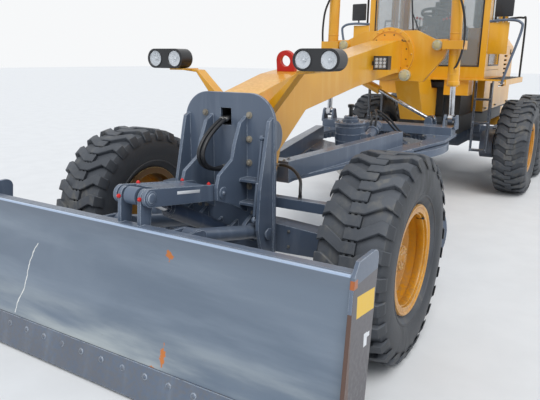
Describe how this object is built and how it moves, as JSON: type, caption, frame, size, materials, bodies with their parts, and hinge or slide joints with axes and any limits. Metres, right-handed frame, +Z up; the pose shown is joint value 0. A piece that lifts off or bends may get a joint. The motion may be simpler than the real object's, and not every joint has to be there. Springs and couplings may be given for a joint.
{
  "type": "motor grader",
  "caption": "Articulated road grader on tandem drive: gooseneck frame, cab, circle with moldboard under the middle, and a wide dozer blade in front.",
  "frame": {"origin": "on the ground under the middle of the whole machine", "axes": "+Z up, -Y towards the front dozer blade, +X towards the left side of the machine"},
  "size_m": [2.77, 9.38, 3.38],
  "materials": {
    "yellow_paint": "gloss",
    "slate_paint": "semi gloss",
    "red_paint": "gloss",
    "black_paint": "satin",
    "chrome_rod": "polished",
    "tyre_rubber": "matt",
    "window_glass": "clear",
    "lamp_body": "gloss",
    "red_lens": "gloss",
    "seat_vinyl": "matt",
    "cab_plastic": "matt",
    "hose_rubber": "matt"
  },
  "bodies": {
    "front": {"front_frame": "yellow_paint", "dozer_mount": "slate_paint", "lamp_arms": "yellow_paint", "lamps": "lamp_body", "lifting_eye": "red_paint", "front_axle": "slate_paint", "saddle": "yellow_paint", "hoses": "hose_rubber"},
    "rear": {"rear_frame": "yellow_paint", "platforms": "yellow_paint", "tail_weight": "yellow_paint", "tandem_cases": "slate_paint", "rear_axle_housing": "slate_paint", "engine": "black_paint", "hood": "yellow_paint", "hood_doors": "yellow_paint", "rear_grille": "black_paint", "exhaust": "black_paint", "rear_lamps": "red_lens", "ladders": "slate_paint", "cab_shell": "yellow_paint", "cab_roof": "yellow_paint", "cab_glass": "window_glass", "seat": "seat_vinyl", "console": "cab_plastic"},
    "door_left": {"door_left": "yellow_paint", "door_glass_left": "window_glass"},
    "door_right": {"door_right": "yellow_paint", "door_glass_right": "window_glass"},
    "knuckle_left": {"knuckle_left": "slate_paint"},
    "knuckle_right": {"knuckle_right": "slate_paint"},
    "tie_rod": {"tie_rod": "slate_paint"},
    "wheel_front_left": {"rim_front_left": "yellow_paint", "tyre_front_left": "tyre_rubber"},
    "wheel_front_right": {"rim_front_right": "yellow_paint", "tyre_front_right": "tyre_rubber"},
    "wheel_mid_left": {"rim_mid_left": "yellow_paint", "tyre_mid_left": "tyre_rubber"},
    "wheel_mid_right": {"rim_mid_right": "yellow_paint", "tyre_mid_right": "tyre_rubber"},
    "wheel_rear_left": {"rim_rear_left": "yellow_paint", "tyre_rear_left": "tyre_rubber"},
    "wheel_rear_right": {"rim_rear_right": "yellow_paint", "tyre_rear_right": "tyre_rubber"},
    "drawbar": {"drawbar": "slate_paint"},
    "circle": {"blade_circle": "slate_paint"},
    "moldboard": {"moldboard": "slate_paint"},
    "lift_barrel_left": {"lift_barrel_left": "yellow_paint"},
    "lift_barrel_right": {"lift_barrel_right": "yellow_paint"},
    "lift_rod_left": {"lift_rod_left": "chrome_rod"},
    "lift_rod_right": {"lift_rod_right": "chrome_rod"},
    "shift_barrel": {"shift_barrel": "yellow_paint"},
    "shift_rod": {"shift_rod": "chrome_rod"},
    "dozer_arms": {"dozer_arms": "slate_paint"},
    "dozer_blade": {"dozer_blade": "slate_paint"},
    "dozer_link": {"dozer_link": "slate_paint"},
    "dozer_barrel": {"dozer_barrel": "black_paint"},
    "dozer_rod": {"dozer_rod": "chrome_rod"}
  },
  "joints": [
    {"name": "articulation", "type": "hinge", "parent": "front", "child": "rear", "pos_m": [0, 1.07, 1.325], "axis": [0, 0, -1], "range_deg": [-25, 25]},
    {"name": "steering", "type": "hinge", "parent": "front", "child": "knuckle_left", "pos_m": [0.8, -3.37, 0.67], "axis": [0, 0, 1], "range_deg": [-45, 45]},
    {"name": "steering_right", "type": "hinge", "parent": "front", "child": "knuckle_right", "pos_m": [-0.8, -3.37, 0.67], "axis": [0, 0, 1], "range_deg": [-45.5, 45.5]},
    {"name": "tie_rod_pivot", "type": "hinge", "parent": "knuckle_left", "child": "tie_rod", "pos_m": [0.8, -3.07, 0.67], "axis": [0, 0, 1], "range_deg": [-45.5, 45.5]},
    {"name": "wheel_front_left_spin", "type": "hinge", "parent": "knuckle_left", "child": "wheel_front_left", "pos_m": [1.095, -3.37, 0.67], "axis": [1, 0, 0], "continuous": true},
    {"name": "wheel_front_right_spin", "type": "hinge", "parent": "knuckle_right", "child": "wheel_front_right", "pos_m": [-1.095, -3.37, 0.67], "axis": [1, 0, 0], "continuous": true},
    {"name": "wheel_mid_left_spin", "type": "hinge", "parent": "rear", "child": "wheel_mid_left", "pos_m": [1.095, 2.08, 0.67], "axis": [1, 0, 0], "continuous": true},
    {"name": "wheel_mid_right_spin", "type": "hinge", "parent": "rear", "child": "wheel_mid_right", "pos_m": [-1.095, 2.08, 0.67], "axis": [1, 0, 0], "continuous": true},
    {"name": "wheel_rear_left_spin", "type": "hinge", "parent": "rear", "child": "wheel_rear_left", "pos_m": [1.095, 3.618, 0.67], "axis": [1, 0, 0], "continuous": true},
    {"name": "wheel_rear_right_spin", "type": "hinge", "parent": "rear", "child": "wheel_rear_right", "pos_m": [-1.095, 3.618, 0.67], "axis": [1, 0, 0], "continuous": true},
    {"name": "drawbar_lift", "type": "hinge", "parent": "front", "child": "drawbar", "pos_m": [0, -3.04, 1.03], "axis": [1, 0, 0], "range_deg": [-22, 0]},
    {"name": "circle_turn", "type": "hinge", "parent": "drawbar", "child": "circle", "pos_m": [0, -0.86988, 1.0747], "axis": [0, -0.0436, 0.999], "continuous": true},
    {"name": "blade_shift", "type": "slide", "parent": "circle", "child": "moldboard", "axis": [-0.6018, 0.7979, 0.0348], "range_m": [-0.56, 0.44]},
    {"name": "lift_swing_left", "type": "hinge", "parent": "front", "child": "lift_barrel_left", "pos_m": [0.71, -0.44, 2.04], "axis": [0.9759, -0.2171, 0.0219], "range_deg": [-4.06, 0.2]},
    {"name": "lift_stroke_left", "type": "slide", "parent": "lift_barrel_left", "child": "lift_rod_left", "axis": [0.0259, 0.0156, -0.9995], "range_m": [-0.001, 0.99888]},
    {"name": "lift_swing_right", "type": "hinge", "parent": "front", "child": "lift_barrel_right", "pos_m": [-0.71, -0.44, 2.04], "axis": [0.9759, 0.2171, -0.0219], "range_deg": [-4.06, 0.2]},
    {"name": "lift_stroke_right", "type": "slide", "parent": "lift_barrel_right", "child": "lift_rod_right", "axis": [-0.0259, 0.0156, -0.9995], "range_m": [-0.001, 0.99888]},
    {"name": "centre_shift_swing", "type": "hinge", "parent": "front", "child": "shift_barrel", "pos_m": [-0.58, -0.29, 1.74], "axis": [0.052, -0.9916, 0.1188], "range_deg": [-30.42, 0.2]},
    {"name": "centre_shift_stroke", "type": "slide", "parent": "shift_barrel", "child": "shift_rod", "axis": [0.8995, -0.0052, -0.437], "range_m": [-0.001, 0.71248]},
    {"name": "dozer_lift", "type": "hinge", "parent": "front", "child": "dozer_arms", "pos_m": [0, -3.63, 0.755], "axis": [-1, 0, 0], "range_deg": [-7, 22]},
    {"name": "dozer_tip", "type": "hinge", "parent": "dozer_arms", "child": "dozer_blade", "pos_m": [0, -4.3, 0.905], "axis": [-1, 0, 0], "range_deg": [-30.44, 9.89]},
    {"name": "dozer_link_swing", "type": "hinge", "parent": "front", "child": "dozer_link", "pos_m": [0, -3.84, 1.05], "axis": [-1, 0, 0], "range_deg": [-6.96, 21.24]},
    {"name": "dozer_jack_swing", "type": "hinge", "parent": "front", "child": "dozer_barrel", "pos_m": [0, -3.632, 0.72], "axis": [-1, 0, 0], "range_deg": [-4.51, 13.53]},
    {"name": "dozer_jack_stroke", "type": "slide", "parent": "dozer_barrel", "child": "dozer_rod", "axis": [0, -0.8918, 0.4524], "range_m": [-0.02024, 0.06147]},
    {"name": "door_left_hinge", "type": "hinge", "parent": "rear", "child": "door_left", "pos_m": [0.795, 1.778, 2.4], "axis": [0, 0, 1], "range_deg": [0, 85]},
    {"name": "door_right_hinge", "type": "hinge", "parent": "rear", "child": "door_right", "pos_m": [-0.795, 1.778, 2.4], "axis": [0, 0, -1], "range_deg": [0, 85]}
  ],
  "couplings": [
    {"joint": "steering_right", "follows": "steering", "ratio": 1},
    {"joint": "tie_rod_pivot", "follows": "steering", "ratio": -1},
    {"joint": "lift_swing_left", "follows": "drawbar_lift", "ratio": 0.17531},
    {"joint": "lift_stroke_left", "follows": "drawbar_lift", "m_per_rad": -2.5988},
    {"joint": "lift_swing_right", "follows": "drawbar_lift", "ratio": 0.17531},
    {"joint": "lift_stroke_right", "follows": "drawbar_lift", "m_per_rad": -2.5988},
    {"joint": "centre_shift_swing", "follows": "drawbar_lift", "ratio": 1.3735},
    {"joint": "centre_shift_stroke", "follows": "drawbar_lift", "m_per_rad": -1.853},
    {"joint": "dozer_tip", "follows": "dozer_lift", "ratio": -1.3702},
    {"joint": "dozer_link_swing", "follows": "dozer_lift", "ratio": 0.95173},
    {"joint": "dozer_jack_swing", "follows": "dozer_lift", "ratio": 0.60131},
    {"joint": "dozer_jack_stroke", "follows": "dozer_lift", "m_per_rad": 0.15749}
  ]
}
